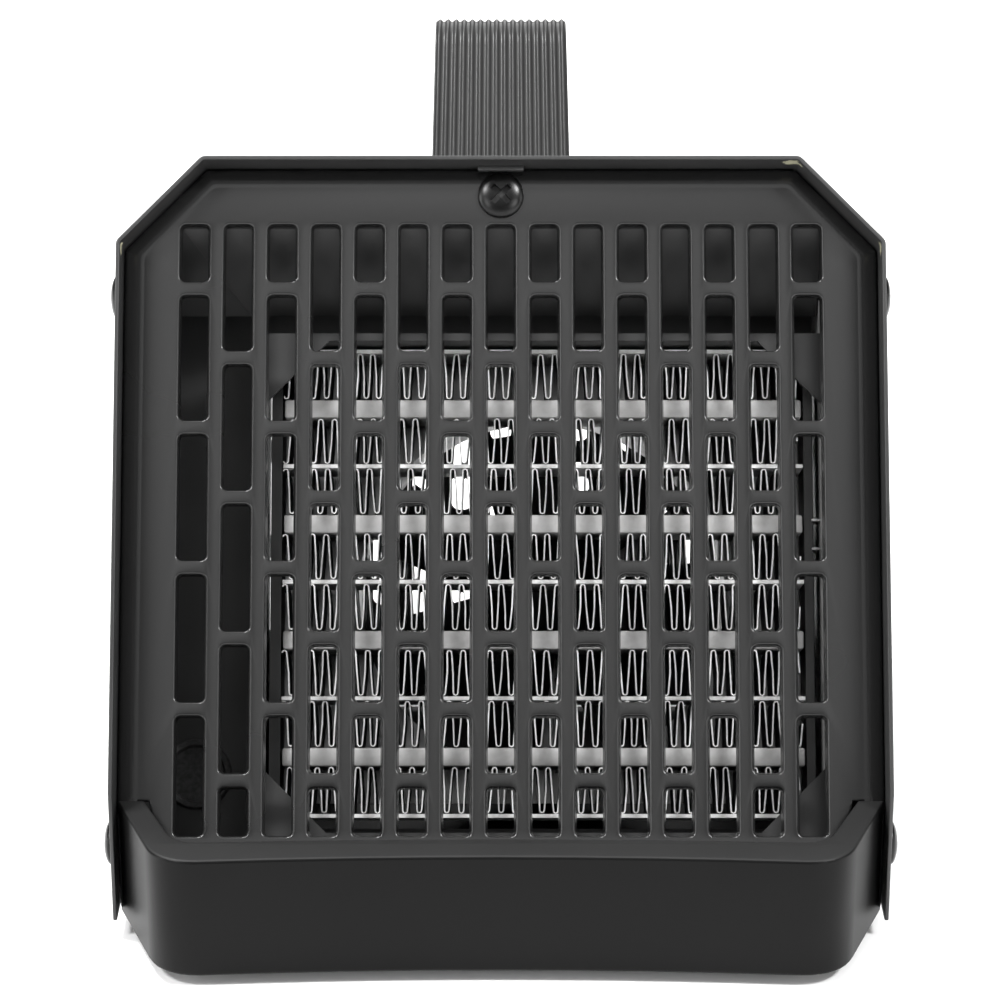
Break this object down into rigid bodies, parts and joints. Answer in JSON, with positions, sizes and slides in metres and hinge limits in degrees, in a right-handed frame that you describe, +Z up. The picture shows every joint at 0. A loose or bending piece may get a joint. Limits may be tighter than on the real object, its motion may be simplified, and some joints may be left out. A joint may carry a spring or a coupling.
{
  "type": "ceramic fan heater",
  "caption": "Compact forward-blowing electric fan heater with a leaning sheet sleeve, slotted grille, finned heating core, fan and strap handle.",
  "frame": {"origin": "middle of the bounding box at floor level", "axes": "+Z up, the grille faces -Y, +X to the right seen from the front"},
  "size_m": [0.1898, 0.2082, 0.1958],
  "materials": {
    "sheet_black": "satin powder coat",
    "black_plastic": "fine moulded texture",
    "handle_plastic": "ribbed satin",
    "aluminium_fin": "bright rolled foil",
    "ceramic_bar_casing": "dull matte casing",
    "galvanised_steel": "zinc plated",
    "rubber": "matte",
    "black_screw": "black zinc",
    "terminal_ceramic": "unglazed"
  },
  "bodies": {
    "root": {"outer_sleeve": "sheet_black", "rear_cover": "sheet_black", "bulkhead": "sheet_black", "air_deflector": "sheet_black", "front_grille": "black_plastic", "base_tray": "black_plastic", "core_holder": "black_plastic", "core_end_left": "black_plastic", "core_end_right": "black_plastic", "thermostat_body": "black_plastic", "selector_switch_body": "black_plastic", "cable_gland": "black_plastic", "tip_switch_body": "black_plastic", "carry_handle": "handle_plastic", "fin_strip_1": "aluminium_fin", "fin_strip_2": "aluminium_fin", "fin_strip_3": "aluminium_fin", "fin_strip_4": "aluminium_fin", "fin_strip_5": "aluminium_fin", "fin_strip_6": "aluminium_fin", "fin_strip_7": "aluminium_fin", "fin_strip_8": "aluminium_fin", "clamp_plate_1": "aluminium_fin", "clamp_plate_2": "aluminium_fin", "clamp_plate_3": "aluminium_fin", "clamp_plate_4": "aluminium_fin", "clamp_plate_5": "aluminium_fin", "ptc_bar_1": "ceramic_bar_casing", "ptc_bar_2": "ceramic_bar_casing", "ptc_bar_3": "ceramic_bar_casing", "ptc_bar_4": "ceramic_bar_casing", "fan_shroud": "galvanised_steel", "motor_bracket": "galvanised_steel", "fan_motor": "galvanised_steel", "thermal_cutout": "galvanised_steel", "lead_grommet": "rubber", "foot_front_left": "rubber", "foot_front_right": "rubber", "foot_rear_left": "rubber", "foot_rear_right": "rubber", "front_screw": "black_screw", "side_screw_upper_left": "black_screw", "side_screw_upper_right": "black_screw", "side_screw_lower_left": "black_screw", "side_screw_lower_right": "black_screw", "rear_screw_left": "black_screw", "rear_screw_right": "black_screw", "handle_screw_front": "black_screw", "handle_screw_rear": "black_screw", "terminal_block": "terminal_ceramic"},
    "fan": {"fan": "aluminium_fin"},
    "thermostat_knob": {"thermostat_knob": "black_plastic"},
    "selector_knob": {"selector_knob": "black_plastic"},
    "tip_plunger": {"tip_switch_plunger": "black_plastic"}
  },
  "joints": [
    {"name": "fan_spin", "type": "hinge", "parent": "root", "child": "fan", "pos_m": [0.0104, -0.00086, 0.05622], "axis": [0, 0.8788, -0.4772], "continuous": true},
    {"name": "thermostat_turn", "type": "hinge", "parent": "root", "child": "thermostat_knob", "pos_m": [-0.052, 0.06453, 0.13474], "axis": [0, 0.4772, 0.8788], "range_deg": [0, 270]},
    {"name": "selector_turn", "type": "hinge", "parent": "root", "child": "selector_knob", "pos_m": [0.052, 0.06453, 0.13474], "axis": [0, 0.4772, 0.8788], "range_deg": [0, 135]},
    {"name": "tip_plunger_slide", "type": "slide", "parent": "root", "child": "tip_plunger", "axis": [0, 0, 1], "range_m": [-0.0035, 0], "stiffness_N_per_m": 60, "springref_m": -0.0035}
  ]
}
